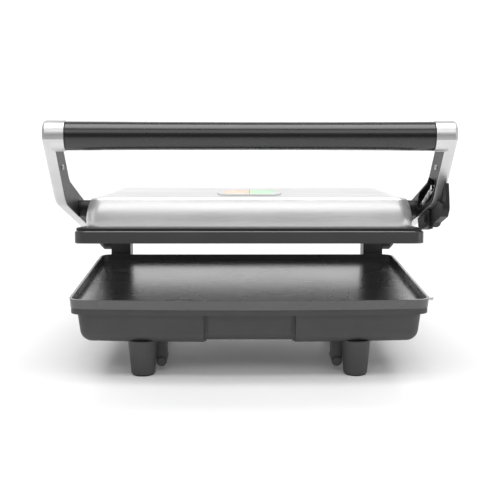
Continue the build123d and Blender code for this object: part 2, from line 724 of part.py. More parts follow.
with BuildPart() as height_lever:
    with BuildSketch(on_side(1, LEVER_IN)):
        with BuildLine():
            side_line(
                [(LEVER_REACH + x, LEVER_Z + z) for x, z in LEVER_OUTLINE],
                (1, 12, 16, 12, 2.2, 4.5, 6, 9, 8, 1),
            )
        make_face()
        with Locations(side(LEVER_REACH, LEVER_Z)):
            Circle(7.4)
        with Locations(side(LEVER_REACH + NOTCH[0], LEVER_Z + NOTCH[1])):
            Circle(PEG_R + 0.9, mode=Mode.SUBTRACT)
        with Locations(side(LEVER_REACH + NOTCH[0] - 0.3, LEVER_Z + NOTCH[1] - 5)):
            Rectangle(2 * PEG_R + 1.8, 10, mode=Mode.SUBTRACT)
    extrude(amount=LEVER_OUT - LEVER_IN)
    # the upper part of the lever lies beside the arm's front edge, not before it
    with BuildSketch(on_side(1, LEVER_IN)):
        with Locations(side(LEVER_REACH + 45, LEVER_Z + LEVER_STEP)):
            Rectangle(50, 30, align=(Align.CENTER, Align.MIN))
    extrude(amount=LEVER_STEP_X - LEVER_IN, mode=Mode.SUBTRACT)
    with BuildSketch(on_side(1, LEVER_IN - 1)):
        with Locations(side(LEVER_REACH, LEVER_Z)):
            Circle(LEVER_PIN_R + 0.06)
    extrude(amount=12, mode=Mode.SUBTRACT)
finish(height_lever, "height_lever")

# ============================ lid ============================================
BEVEL_RUN = 24.75
COVER_TOP_W = COVER_W - 8.5           # width and depth above the tapered walls
COVER_TOP_D = COVER_D - 8.5
LID_BOSS_R = 8.0
LID_BOSS_IN, LID_BOSS_OUT = 139.0, 162.6
PILL_W, PILL_H = 58.0, 13.0
LENS_W, LENS_H = 45.0, 8.6
UP_SCREWS = [(x, UP_Y + y) for x in (-126, 126) for y in (-82, 82)]
WEB_B = -PLATE_DROP + 6.5             # top of the upper plate's web
bevel_deg = math.degrees(math.atan2(COVER_BEVEL_H, BEVEL_RUN))


def lid_height(point):
    """Height of a point above the lid's pivot, square to the lid."""
    return LID.to_local_coords(point).Z


def cover_form(inset):
    """Outer form of the cover, drawn in by the inset."""
    sections = [
        (COVER_B, COVER_W, COVER_D, 14),
        (COVER_B + COVER_WALL_H, COVER_TOP_W, COVER_TOP_D, 12),
        (COVER_TOP, COVER_TOP_W - 2 * BEVEL_RUN, COVER_TOP_D - 2 * BEVEL_RUN, 8),
    ]
    with BuildPart() as form:
        for b, w, d, r in sections:
            lift = 0 if b == COVER_B else inset
            with BuildSketch(LID.offset(b - lift)):
                with Locations((0, COVER_Y)):
                    RectangleRounded(w - 2 * inset, d - 2 * inset, r - inset)
        loft(ruled=True)
        levels = form.edges().filter_by(lambda e: abs(lid_height(e @ 0) - lid_height(e @ 1)) < 0.01)
        top = levels.filter_by(lambda e: lid_height(e @ 0) > COVER_TOP - inset - 0.1)
        shoulder = levels.filter_by(lambda e: abs(lid_height(e @ 0) - COVER_B - COVER_WALL_H + inset) < 0.1)
        fillet(shoulder, 5 - inset)
        fillet(top, 6 - inset)
    return form.part


BEVEL = Plane(
    origin=LID.from_local_coords(
        (0, COVER_Y - COVER_TOP_D / 2 + BEVEL_RUN * 0.47, COVER_B + COVER_WALL_H + COVER_BEVEL_H * 0.47)
    ),
    x_dir=(1, 0, 0),
    z_dir=(0, -math.sin(math.radians(bevel_deg - LID_TILT)), math.cos(math.radians(bevel_deg - LID_TILT))),
)

cover_outside = cover_form(0)
cover_inside = cover_form(SHEET)
with BuildPart() as lid_cover:
    add(cover_outside)
    add(cover_inside, mode=Mode.SUBTRACT)
    with BuildSketch(on_side(-1, 160)):
        with Locations(side(PIVOT_REACH, PIVOT_Z)):
            Circle(LID_BOSS_R + 0.1)
    extrude(amount=320, mode=Mode.SUBTRACT)
    with BuildSketch(BEVEL.offset(-5)):
        SlotOverall(PILL_W - 5, PILL_H - 2.4)
    extrude(amount=10, mode=Mode.SUBTRACT)
finish(lid_cover, "lid_cover")

with BuildPart() as lid_bezel:
    with BuildSketch(LID.offset(LIP_B)):
        with Locations((0, UP_Y)):
            RectangleRounded(UP_W - 2, UP_D - 2, 10)
    extrude(amount=LIP_T)
    chamfer(lid_bezel.edges().filter_by(lambda e: lid_height(e @ 0.5) > COVER_B - 0.01), 0.7)
    with BuildSketch(LID.offset(COVER_B)):
        with Locations((0, COVER_Y)):
            RectangleRounded(COVER_W - 2 * SHEET - 4, COVER_D - 2 * SHEET - 4, 12)
    extrude(amount=6)
    with BuildSketch(LID.offset(LIP_B - 1)):
        with Locations((0, COVER_Y)):
            RectangleRounded(COVER_W - 14, COVER_D - 14, 8)
    extrude(amount=20, mode=Mode.SUBTRACT)
    with BuildSketch(LID.offset(LIP_B)):
        with Locations(*UP_SCREWS):
            Rectangle(28, 26)
    extrude(amount=LIP_T)
    with BuildSketch(LID.offset(LIP_B - 1)):
        with Locations(*UP_SCREWS):
            Circle(2.2)
    extrude(amount=8, mode=Mode.SUBTRACT)
finish(lid_bezel, "lid_bezel")

with BuildPart() as upper_plate:
    with BuildSketch(LID.offset(-PLATE_DROP)):
        with Locations((0, UP_Y)):
            RectangleRounded(UP_W, UP_D, 9)
    extrude(amount=UP_RIM)
    chamfer(upper_plate.edges().filter_by(lambda e: lid_height(e @ 0.5) > RIM_B - 0.01), 0.8)
    chamfer(upper_plate.edges().filter_by(lambda e: lid_height(e @ 0.5) < 0.01 - PLATE_DROP), 0.8)
    with BuildSketch(LID.offset(WEB_B)):
        with Locations((0, UP_Y)):
            RectangleRounded(UP_W - 8, UP_D - 8, 6)
    extrude(amount=UP_RIM, mode=Mode.SUBTRACT)
    with BuildSketch(LID.offset(-PLATE_DROP)):
        with Locations((0, UP_Y)):
            with GridLocations(8, 0, 37, 1):
                SlotOverall(UP_D - 14, 4.4, rotation=90)
    extrude(amount=3.4, mode=Mode.SUBTRACT)
    with BuildSketch(LID.offset(WEB_B)):
        with Locations(*UP_SCREWS):
            Circle(4.6)
    extrude(amount=LIP_B - 0.1 - WEB_B)
    with BuildSketch(LID.offset(WEB_B + 0.4)):
        with Locations(*UP_SCREWS):
            Circle(2.05)
    extrude(amount=10, mode=Mode.SUBTRACT)
finish(upper_plate, "upper_plate")

with BuildPart() as upper_plate_screws:
    with BuildSketch(LID.offset(COVER_B + 0.05)):
        with Locations(*UP_SCREWS):
            Circle(3.8)
    extrude(amount=2.4)
    with BuildSketch(LID.offset(WEB_B + 0.6)):
        with Locations(*UP_SCREWS):
            Circle(2.0)
    extrude(amount=COVER_B + 0.1 - WEB_B - 0.6)
finish(upper_plate_screws, "upper_plate_screws")

with BuildPart() as upper_heating_element:
    with BuildLine(LID.offset(WEB_B + 3.4)) as upper_loop:
        FilletPolyline(
            (16, UP_Y + 70), (16, UP_Y + 40), (108, UP_Y + 40), (108, UP_Y - 60), (-108, UP_Y - 60),
            (-108, UP_Y + 40), (-16, UP_Y + 40), (-16, UP_Y + 70), radius=14,
        )
    with BuildSketch(Plane(origin=upper_loop.line @ 0, z_dir=upper_loop.line % 0)):
        Circle(ELEMENT_R)
    sweep()
finish(upper_heating_element, "upper_heating_element")

with BuildPart() as upper_reflector:
    with BuildSketch(LID.offset(COVER_B + 0.05)):
        with Locations((0, UP_Y)):
            RectangleRounded(270, 178, 8)
    extrude(amount=4.6)
    with BuildSketch(LID.offset(COVER_B + 0.05)):
        with Locations((0, UP_Y)):
            RectangleRounded(268.8, 176.8, 7.4)
    extrude(amount=4, mode=Mode.SUBTRACT)
finish(upper_reflector, "upper_reflector")

with BuildPart(LID.offset(WEB_B + 0.1)) as upper_thermostat:
    with Locations((0, UP_Y, 0)):
        Cylinder(8, 6, align=(Align.CENTER, Align.CENTER, Align.MIN))
        Box(30, 7, 1, align=(Align.CENTER, Align.CENTER, Align.MIN))
finish(upper_thermostat, "upper_thermostat")

with BuildPart() as indicator_bezel:
    with BuildSketch(BEVEL.offset(0.05)):
        SlotOverall(PILL_W, PILL_H)
    extrude(amount=0.8)
    with BuildSketch(BEVEL.offset(-5)):
        SlotOverall(PILL_W - 5.4, PILL_H - 2.8)
    extrude(amount=5.1)
    with BuildSketch(BEVEL.offset(-6)):
        SlotOverall(LENS_W + 0.2, LENS_H + 0.2)
    extrude(amount=8, mode=Mode.SUBTRACT)
finish(indicator_bezel, "indicator_bezel")


def make_lens(s):
    """One half of the indicator's window."""
    with BuildPart() as lens:
        with BuildSketch(BEVEL.offset(-3)):
            SlotOverall(LENS_W, LENS_H)
            with Locations((-s * LENS_W / 2 + s * 0.3, 0)):
                Rectangle(LENS_W, LENS_H + 1, mode=Mode.SUBTRACT)
        extrude(amount=3.7)
    return lens


finish(make_lens(-1), "power_lens")
finish(make_lens(1), "ready_lens")

with BuildPart(BEVEL.offset(-5.1)) as lamp_holder:
    Box(52, 10, 6, align=(Align.CENTER, Align.CENTER, Align.MAX))
    with Locations((-11, 0, 0), (11, 0, 0)):
        Cylinder(2.8, 5, align=(Align.CENTER, Align.CENTER, Align.MAX), mode=Mode.SUBTRACT)
finish(lamp_holder, "lamp_holder")

with BuildPart(BEVEL.offset(-3.2)) as indicator_lamps:
    with Locations((-11, 0, 0), (11, 0, 0)):
        Cylinder(2.5, 6.6, align=(Align.CENTER, Align.CENTER, Align.MAX))
finish(indicator_lamps, "indicator_lamps")


def make_lid_pivot(s):
    """Boss and pin that carry the lid in the arms."""
    with BuildPart() as pivot:
        with BuildSketch(on_side(s, LID_BOSS_IN)):
            with Locations(side(PIVOT_REACH, PIVOT_Z)):
                Circle(LID_BOSS_R)
        extrude(amount=s * (LID_BOSS_OUT - LID_BOSS_IN))
        with BuildSketch(on_side(s, LID_BOSS_IN - 2.4)):
            with Locations(side(PIVOT_REACH, PIVOT_Z)):
                Circle(LID_BOSS_R + 1.4)
        extrude(amount=s * 2.4)
        with BuildSketch(on_side(s, LID_BOSS_OUT - 0.6)):
            with Locations(side(PIVOT_REACH, PIVOT_Z)):
                Circle(4)
        extrude(amount=s * 6.8)
    return pivot


for word, s in SIDES.items():
    finish(make_lid_pivot(s), f"lid_pivot_{word}")
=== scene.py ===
import json
import math

import bmesh
import bpy
from mathutils import Matrix, Vector


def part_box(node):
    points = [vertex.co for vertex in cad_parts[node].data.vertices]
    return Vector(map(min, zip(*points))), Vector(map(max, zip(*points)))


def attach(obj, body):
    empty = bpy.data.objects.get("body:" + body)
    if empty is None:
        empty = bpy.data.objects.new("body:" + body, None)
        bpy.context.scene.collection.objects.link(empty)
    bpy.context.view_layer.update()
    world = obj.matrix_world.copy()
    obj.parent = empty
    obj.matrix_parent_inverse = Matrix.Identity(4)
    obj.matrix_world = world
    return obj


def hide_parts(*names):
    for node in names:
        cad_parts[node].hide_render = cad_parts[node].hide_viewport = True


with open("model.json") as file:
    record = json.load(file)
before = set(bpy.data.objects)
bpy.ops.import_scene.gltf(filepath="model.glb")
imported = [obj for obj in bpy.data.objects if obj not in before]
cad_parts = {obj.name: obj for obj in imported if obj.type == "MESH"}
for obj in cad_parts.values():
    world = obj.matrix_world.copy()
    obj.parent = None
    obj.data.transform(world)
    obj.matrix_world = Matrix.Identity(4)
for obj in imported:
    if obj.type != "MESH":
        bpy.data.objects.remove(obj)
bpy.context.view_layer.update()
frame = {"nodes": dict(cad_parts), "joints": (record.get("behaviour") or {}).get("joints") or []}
NODES = frame["nodes"]

# Sizes are in metres. The press's front faces -Y, +X is the user's right, +Z is up.
MM = 0.001

# ---- camera and studio -------------------------------------------------------
CAMERA_SPOT = (-0.0115, -0.9845, 0.2659)
CAMERA_PITCH, CAMERA_YAW, CAMERA_ROLL = 0.1707, -0.0134, 0.0019   # radians
CAMERA_LENS, CAMERA_SENSOR = 72.79, 36.0                          # millimetres
WORLD_STRENGTH = 0.16
SOFT_BOXES = {
    # name: (place, point it faces, width and height, watts)
    "top_box": ((0, -0.2, 1.7), (0, -0.2, 0), (2.6, 1.1), 34),
    "brow_box": ((0, -1.55, 1.45), (0, -0.2, 0.05), (2.4, 0.8), 9),
    "left_box": ((-1.7, -0.7, 0.6), (0, 0, 0.12), (0.9, 1.0), 1.5),
    "right_box": ((1.7, -0.7, 0.6), (0, 0, 0.12), (0.9, 1.0), 4),
    "back_box": ((0, 0.9, 1.1), (0, 1.6, 0.3), (2.8, 0.5), 8),
}
BACKDROP_HALF_WIDTH = 4.0
BACKDROP_NEAR, BACKDROP_FAR, BACKDROP_HIGH = -3.5, 1.6, 3.2
BACKDROP_SWEEP = 0.9             # radius where the floor turns up into the wall


def make_camera():
    """Camera at the photograph's viewing angle, just above the handle and a little left of centre."""
    data = bpy.data.cameras.new("camera")
    data.lens = CAMERA_LENS
    data.sensor_width = CAMERA_SENSOR
    camera = bpy.data.objects.new("camera", data)
    camera.matrix_world = (
        Matrix.Translation(CAMERA_SPOT)
        @ Matrix.Rotation(CAMERA_YAW, 4, "Z")
        @ Matrix.Rotation(math.pi / 2 - CAMERA_PITCH, 4, "X")
        @ Matrix.Rotation(CAMERA_ROLL, 4, "Z")
    )
    bpy.context.scene.collection.objects.link(camera)
    bpy.context.scene.camera = camera


def make_light(name, spot, target, size, power):
    """Soft box of that width and height, in metres, aimed at the target."""
    data = bpy.data.lights.new(name, "AREA")
    data.shape = "RECTANGLE"
    data.size, data.size_y = size
    data.energy = power
    light = bpy.data.objects.new(name, data)
    light.location = spot
    light.rotation_euler = (Vector(target) - Vector(spot)).to_track_quat("-Z", "Y").to_euler()
    bpy.context.scene.collection.objects.link(light)


def mesh_object(name, points, faces):
    """Smooth-shaded object made from points and faces, at the origin."""
    mesh = bpy.data.meshes.new(name)
    mesh.from_pydata([tuple(p) for p in points], [], faces)
    mesh.update()
    mesh.polygons.foreach_set("use_smooth", [True] * len(mesh.polygons))
    piece = bpy.data.objects.new(name, mesh)
    bpy.context.scene.collection.objects.link(piece)
    return piece


def make_backdrop():
    """White floor that sweeps up behind the press."""
    turn_start = BACKDROP_FAR - BACKDROP_SWEEP
    steps = 16
    profile = [(BACKDROP_NEAR, 0.0), (turn_start, 0.0)]
    for i in range(1, steps + 1):
        a = math.pi / 2 * i / steps
        profile.append((turn_start + BACKDROP_SWEEP * math.sin(a), BACKDROP_SWEEP * (1 - math.cos(a))))
    profile.append((BACKDROP_FAR, BACKDROP_HIGH))
    points = [(x, y, z) for y, z in profile for x in (-BACKDROP_HALF_WIDTH, BACKDROP_HALF_WIDTH)]
    faces = [(2 * i, 2 * i + 1, 2 * i + 3, 2 * i + 2) for i in range(len(profile) - 1)]
    backdrop = mesh_object("backdrop", points, faces)
    backdrop.data.materials.append(backdrop_material())


def make_studio():
    """Dim white world, with soft boxes above, in front, at both sides and for the backdrop."""
    scene = bpy.context.scene
    scene.view_settings.view_transform = "Standard"
    scene.world = bpy.data.worlds.new("studio")
    scene.world.use_nodes = True
    background = scene.world.node_tree.nodes["Background"]
    background.inputs["Color"].default_value = (1, 1, 1, 1)
    background.inputs["Strength"].default_value = WORLD_STRENGTH
    for name, (spot, target, size, power) in SOFT_BOXES.items():
        make_light(name, spot, target, size, power)


# ---- material nodes ----------------------------------------------------------
def start_material(name, **values):
    """Material with one Principled shader that has these uniform values; a space in a name is _."""
    material = bpy.data.materials.new(name)
    material.use_nodes = True
    shader = material.node_tree.nodes["Principled BSDF"]
    for socket, value in values.items():
        shader.inputs[socket.replace("_", " ")].default_value = value
    return material, shader


def add_node(material, kind, inputs=(), **settings):
    """Node with these settings; an input is a number, a tuple, or another node's output socket."""
    node = material.node_tree.nodes.new("ShaderNode" + kind)
    for key, value in settings.items():
        setattr(node, key, value)
    for key, value in dict(inputs).items():
        if isinstance(value, bpy.types.NodeSocket):
            material.node_tree.links.new(value, node.inputs[key])
        else:
            node.inputs[key].default_value = value
    return node


def object_coords(material, stretch=(1, 1, 1)):
    """The piece's own coordinates in metres, multiplied along each axis."""
    place = add_node(material, "TexCoord").outputs["Object"]
    return add_node(material, "Mapping", {"Vector": place, "Scale": stretch}).outputs[0]


def noise(material, per_metre, detail=3, roughness=0.55, stretch=(1, 1, 1)):
    """Noise from 0 to 1 with that many features a metre."""
    return add_node(
        material,
        "TexNoise",
        {
            "Vector": object_coords(material, stretch),
            "Scale": per_metre,
            "Detail": detail,
            "Roughness": roughness,
        },
    ).outputs["Fac"]


def span(material, value, low, high, source=(0.3, 0.7)):
    """The value's source range mapped to low and high."""
    node = add_node(
        material,
        "MapRange",
        {"Value": value, "From Min": source[0], "From Max": source[1], "To Min": low, "To Max": high},
    )
    return node.outputs["Result"]


def blend_colours(material, value, low, high):
    """Colour that runs from low to high with the value; low may be another node's colour."""
    mix = add_node(material, "Mix", data_type="RGBA")
    material.node_tree.links.new(value, mix.inputs["Factor"])
    first, second = [socket for socket in mix.inputs if socket.type == "RGBA"]
    if isinstance(low, bpy.types.NodeSocket):
        material.node_tree.links.new(low, first)
    else:
        first.default_value = (*low, 1)
    second.default_value = (*high, 1)
    return next(socket for socket in mix.outputs if socket.type == "RGBA")


def add_bump(material, shader, heights):
    """Chain of bumps; heights are pairs of a value and its depth in metres."""
    normal = None
    for value, depth in heights:
        inputs = {"Height": value, "Strength": 1.0, "Distance": depth}
        if normal is not None:
            inputs["Normal"] = normal
        normal = add_node(material, "Bump", inputs).outputs["Normal"]
    material.node_tree.links.new(normal, shader.inputs["Normal"])


def wire(material, shader, **sockets):
    """Connect values to the shader's named inputs; a space in a name is written _."""
    for socket, value in sockets.items():
        material.node_tree.links.new(value, shader.inputs[socket.replace("_", " ")])


def grey(level):
    """Neutral colour."""
    return (level, level, level)


# ---- materials ---------------------------------------------------------------
def backdrop_material():
    """White painted board, a little uneven."""
    material, shader = start_material("studio_white", IOR=1.3, Emission_Strength=0.06)
    tone = span(material, noise(material, 3), 0.90, 0.93)
    wire(material, shader, Base_Color=blend_colours(material, tone, grey(0.0), grey(1.0)))
    wire(material, shader, Roughness=span(material, noise(material, 6), 0.28, 0.36))
    return material


def moulded_plastic(name, dark, light, rough, grain_depth=0.02 * MM, ior=1.5, coat=0.0):
    """Moulded plastic with a fine spark texture, faint flow clouds and rubbed patches."""
    material, shader = start_material(
        name, IOR=ior, Coat_Weight=coat, Coat_Roughness=0.2, Coat_IOR=1.6
    )
    cloud = noise(material, 34, detail=4)
    grain = noise(material, 2600, detail=2)
    wire(
        material,
        shader,
        Base_Color=blend_colours(material, span(material, cloud, 0, 1), grey(dark), grey(light)),
        Roughness=span(material, noise(material, 60, detail=5), rough - 0.02, rough + 0.03),
    )
    add_bump(material, shader, [(grain, grain_depth), (noise(material, 420), 0.3 * grain_depth)])
    return material


def nonstick_coating(name, dark, light, rough):
    """Sprayed non-stick coat on cast aluminium: orange peel, fine flecks and wiped patches."""
    material, shader = start_material(name, IOR=1.55, Coat_Weight=0.5, Coat_Roughness=0.18)
    fleck = add_node(
        material, "TexVoronoi", {"Vector": object_coords(material), "Scale": 900.0}, feature="F1"
    ).outputs["Distance"]
    speck = span(material, fleck, 1, 0, source=(0.02, 0.2))
    cloud = span(material, noise(material, 20, detail=2), 0, 1)
    base = blend_colours(material, cloud, grey(dark), grey(light))
    wire(
        material,
        shader,
        Base_Color=blend_colours(material, speck, base, grey(light * 1.3)),
        Roughness=span(material, noise(material, 14, detail=2), rough - 0.01, rough + 0.015),
        Metallic=span(material, speck, 0.25, 0.32, source=(0, 1)),
    )
    add_bump(material, shader, [(noise(material, 1200), 0.0006 * MM), (noise(material, 60), 0.002 * MM)])
    return material


def brushed_metal(name, dark, light, rough, along, metallic=1.0, depth=0.006 * MM):
    """Metal brushed along one axis: hair lines, longer streaks and a few faint smears."""
    material, shader = start_material(name, Metallic=metallic)
    hair = tuple(1 if i == "xyz".index(along) else 70 for i in range(3))
    streak = tuple(1 if i == "xyz".index(along) else 14 for i in range(3))
    fine = noise(material, 40, detail=4, roughness=0.7, stretch=hair)
    broad = noise(material, 9, detail=5, roughness=0.6, stretch=streak)
    smear = noise(material, 16, detail=4)
    tone = add_node(material, "Math", {0: fine, 1: broad}, operation="ADD").outputs[0]
    haze = add_node(material, "Math", {0: fine, 1: smear}, operation="ADD").outputs[0]
    wire(
        material,
        shader,
        Base_Color=blend_colours(
            material, span(material, tone, 0, 1, source=(0.7, 1.3)), grey(dark), grey(light)
        ),
        Roughness=span(material, haze, rough - 0.05, rough + 0.09, source=(0.7, 1.3)),
    )
    add_bump(material, shader, [(fine, depth), (broad, 0.2 * depth)])
    return material


def satin_metal(name, dark, light, rough, metallic=1.0):
    """Bead-blasted or plated metal with a very fine grain and a cloudy sheen."""
    material, shader = start_material(name, Metallic=metallic)
    cloud = noise(material, 22, detail=2)
    wire(
        material,
        shader,
        Base_Color=blend_colours(material, span(material, cloud, 0, 1), grey(dark), grey(light)),
        Roughness=span(material, noise(material, 30, detail=3), rough - 0.02, rough + 0.04),
    )
    grain = noise(material, 3000, detail=2)
    add_bump(material, shader, [(grain, 0.002 * MM), (noise(material, 200), 0.001 * MM)])
    return material


def tinted_lens(name, low, high):
    """Pale clear plastic with a tint, and a faint painted glow from its own emission that stands in for
    the lamp's light from behind.
    """
    material, shader = start_material(
        name,
        IOR=1.49,
        Transmission_Weight=0.25,
        Coat_Weight=0.6,
        Coat_Roughness=0.06,
        # painted glow: the lens emits light itself, in place of light from the lamp behind it
        Emission_Strength=0.25,
    )
    ribs = add_node(
        material, "TexWave", {"Vector": object_coords(material), "Scale": 330.0}, bands_direction="X"
    ).outputs["Fac"]
    tint = blend_colours(material, span(material, noise(material, 190), 0, 1), low, high)
    wire(
        material,
        shader,
        Base_Color=tint,
        # the painted glow has the tint's colour
        Emission_Color=tint,
        Roughness=span(material, noise(material, 500), 0.12, 0.22),
    )
    add_bump(material, shader, [(ribs, 0.02 * MM)])
    return material


def rubber(name, dark, light):
    """Matte rubber with dust in its pores."""
    material, shader = start_material(name, IOR=1.45)
    dust = noise(material, 1500, detail=4)
    wire(
        material,
        shader,
        Base_Color=blend_colours(material, span(material, dust, 0, 1), grey(dark), grey(light)),
        Roughness=span(material, noise(material, 80), 0.7, 0.85),
    )
    add_bump(material, shader, [(dust, 0.03 * MM)])
    return material


MATERIALS = {}                   # key: (material, CAD nodes that take it, slot in the record)


def use(key, slot, nodes, maker, *values, **settings):
    """Make a material, and note its record slot and the CAD nodes that take it."""
    MATERIALS[key] = (maker(key, *values, **settings), nodes.split(), slot)


def make_plastics():
    """Moulded plastics and rubbers."""
    use(
        "housing_plastic", "black_plastic",
        "lower_housing cord_cleat_left cord_cleat_right hinge_tower_left hinge_tower_right",
        moulded_plastic, 0.050, 0.060, 0.46,
    )
    use(
        "black_plastic", "black_plastic",
        "arm_cover_left arm_cover_right height_lever lever_bracket arm_hub_left arm_hub_right "
        "lid_pivot_left lid_pivot_right lever_pin",
        moulded_plastic, 0.010, 0.015, 0.46, ior=1.4,
    )
    use("lip_plastic", "black_plastic", "lid_bezel", moulded_plastic, 0.008, 0.012, 0.42)
    use(
        "grip_skin", "grip_black", "handle_grip",
        moulded_plastic, 0.004, 0.006, 0.28, grain_depth=0.001 * MM, ior=1.45, coat=0.6,
    )
    use(
        "terminal_cream", "terminal_plastic", "terminal_block lamp_holder",
        moulded_plastic, 0.55, 0.62, 0.5,
    )
    use("bush_nylon", "bush_nylon", "lid_bush_left lid_bush_right", moulded_plastic, 0.60, 0.66, 0.4)
    use("gland_rubber", "black_plastic", "cord_gland", rubber, 0.014, 0.020)
    use("foot_rubber", "foot_rubber", "foot_pads", rubber, 0.012, 0.022)


def make_coatings():
    """Non-stick coats of the two plates."""
    use("lower_coating", "nonstick_aluminium", "lower_plate", nonstick_coating, 0.085, 0.095, 0.27)
    use("upper_coating", "nonstick_aluminium", "upper_plate", nonstick_coating, 0.060, 0.068, 0.34)


def make_metals():
    """Brushed sheet, satin castings and plated parts."""
    use(
        "cover_steel", "brushed_cover", "lid_cover",
        brushed_metal, 0.86, 0.98, 0.33, "x", metallic=0.72, depth=0.003 * MM,
    )
    use(
        "arm_metal", "silver_metal", "arm_left arm_right",
        satin_metal, 0.64, 0.72, 0.32, metallic=0.75,
    )
    use(
        "bezel_chrome", "bezel_silver", "indicator_bezel",
        satin_metal, 0.84, 0.90, 0.30, metallic=0.45,
    )
    use(
        "pin_steel", "pin_steel",
        "hinge_pin_left hinge_pin_right catch_peg lever_spring spring_posts",
        satin_metal, 0.55, 0.66, 0.22,
    )
    use(
        "screw_steel", "screw_steel",
        "lower_plate_screws upper_plate_screws tower_screws arm_cover_screws",
        satin_metal, 0.45, 0.58, 0.30,
    )
    use("tube_steel", "tube_steel", "handle_tube", brushed_metal, 0.50, 0.62, 0.30, "x")
    use(
        "reflector_steel", "reflector_steel", "lower_reflector upper_reflector",
        brushed_metal, 0.50, 0.62, 0.38, "y",
    )
    use(
        "element_steel", "element_steel", "lower_heating_element upper_heating_element",
        satin_metal, 0.20, 0.28, 0.45,
    )
    use(
        "control_metal", "control_metal", "lower_thermostat upper_thermostat thermal_fuse",
        satin_metal, 0.50, 0.60, 0.28,
    )


def make_lenses():
    """Windows of the indicator and the lamps behind them."""
    use("power_window", "lens_red", "power_lens", tinted_lens, (0.95, 0.72, 0.60), (0.95, 0.62, 0.50))
    use("ready_window", "lens_green", "ready_lens", tinted_lens, (0.62, 0.88, 0.64), (0.52, 0.84, 0.56))
    use("lamp_glass", "lamp_glass", "indicator_lamps", tinted_lens, (0.9, 0.6, 0.4), (0.95, 0.7, 0.5))


def paint_nodes():
    """Give every CAD node its material."""
    for material, names, slot in MATERIALS.values():
        for name in names:
            node = NODES[name]
            node.data.materials.clear()
            node.data.materials.append(material)


# ---- mesh helpers ------------------------------------------------------------
def rounded_loop(wide, deep, radius, steps=12):
    """Points round a rectangle with rounded corners, about the origin."""
    points = []
    for x, y, start in ((1, -1, -90), (1, 1, 0), (-1, 1, 90), (-1, -1, 180)):
        middle_x, middle_y = x * (wide / 2 - radius), y * (deep / 2 - radius)
        for i in range(steps + 1):
            a = math.radians(start + 90 * i / steps)
            points.append((middle_x + radius * math.cos(a), middle_y + radius * math.sin(a)))
    return points


def loft(name, loops, closed=False):
    """Skin through loops of equally many points, capped at both ends or closed into a ring."""
    count = len(loops[0])
    faces = []
    for k in range(len(loops) - (0 if closed else 1)):
        near, far = k * count, (k + 1) % len(loops) * count
        for i in range(count):
            j = (i + 1) % count
            faces.append((near + i, near + j, far + j, far + i))
    if not closed:
        faces.append(tuple(reversed(range(count))))
        faces.append(tuple((len(loops) - 1) * count + i for i in range(count)))
    return mesh_object(name, [p for loop in loops for p in loop], faces)


def arc(radius, start, end, steps):
    """Moves from the start of an arc whose direction turns from start to end degrees off upright."""
    a0 = math.radians(start)
    moves = []
    for i in range(1, steps + 1):
        a = math.radians(start + (end - start) * i / steps)
        moves.append((radius * (math.cos(a0) - math.cos(a)), radius * (math.sin(a) - math.sin(a0))))
    return moves


def curve_through(start, pull, end, steps):
    """Points of a quadratic curve from start to end."""
    points = []
    for i in range(steps + 1):
        t = i / steps
        weights = ((1 - t) ** 2, 2 * t * (1 - t), t * t)
        points.append(tuple(sum(w * p[k] for w, p in zip(weights, (start, pull, end))) for k in (0, 1)))
    return points


def cut_away(piece, tool):
    """Take the tool's shape out of the piece and remove the tool."""
    modifier = piece.modifiers.new("cut", "BOOLEAN")
    modifier.operation = "DIFFERENCE"
    modifier.solver = "EXACT"
    modifier.object = tool
    apply_modifiers(piece)
    bpy.data.objects.remove(tool)


def apply_modifiers(piece):
    """Replace the piece's mesh by what its modifiers make of it."""
    shown = piece.evaluated_get(bpy.context.evaluated_depsgraph_get())
    mesh = bpy.data.meshes.new_from_object(shown)
    piece.modifiers.clear()
    piece.data = mesh


def soften(piece, degrees=35):
    """Smooth shading with creases kept where faces meet at more than that angle."""
    piece.data.polygons.foreach_set("use_smooth", [True] * len(piece.data.polygons))
    piece.data.set_sharp_from_angle(angle=math.radians(degrees))


def finish_piece(piece, body, key, *stands_for):
    """Hang a finished piece on its body with its material, in place of these CAD nodes."""
    material, _, slot = MATERIALS[key]
    piece.data.materials.clear()
    piece.data.materials.append(material)
    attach(piece, body)
    if stands_for:
        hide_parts(*stands_for)


# ---- lid cover ---------------------------------------------------------------
LID_PIVOT = Vector(next(j for j in frame["joints"] if j["name"] == "lid_tilt")["pos_m"])
LID_TILT = math.radians(7)
COVER_FOOT = -16.5 * MM          # lower edge of the cover, above the lid's pivot
COVER_MIDDLE = 15 * MM           # middle of the cover, behind the pivot
COVER_WIDE, COVER_DEEP = 292.5 * MM, 202 * MM
COVER_CORNER = 14 * MM
SHEET = 1.2 * MM
# places up the cover's side are pairs: inset from its widest outline, and height above its foot
WALL_START, WALL_PULL, WALL_END = (0.35 * MM, 0), (-1.26 * MM, 13.1 * MM), (3.6 * MM, 24.56 * MM)
SHOULDER_R, SHOULDER_TURN = 5 * MM, (23, 68)      # radius, and degrees off upright where it turns
CROWN_R, CROWN_TURN = 6 * MM, (68, 90)
BEVEL_FALL = math.radians(22)
BEVEL_START = (4.25 * MM, 26.4 * MM)
COVER_HIGH = 36.4 * MM
INDICATOR_HOLE = (54 * MM, 11 * MM, 5.49 * MM)    # width, height and corner radius
BOSS_HOLE_R = 8.3 * MM
BOSS_HOLE_REACH = (130 * MM, 155 * MM)            # |x| between which the hole is cut


def lid_point(x, back, up):
    """Point given by its place in the lid: across, behind the pivot and above it."""
    return Vector(
        (
            x,
            LID_PIVOT.y + back * math.cos(LID_TILT) + up * math.sin(LID_TILT),
            LID_PIVOT.z - back * math.sin(LID_TILT) + up * math.cos(LID_TILT),
        )
    )


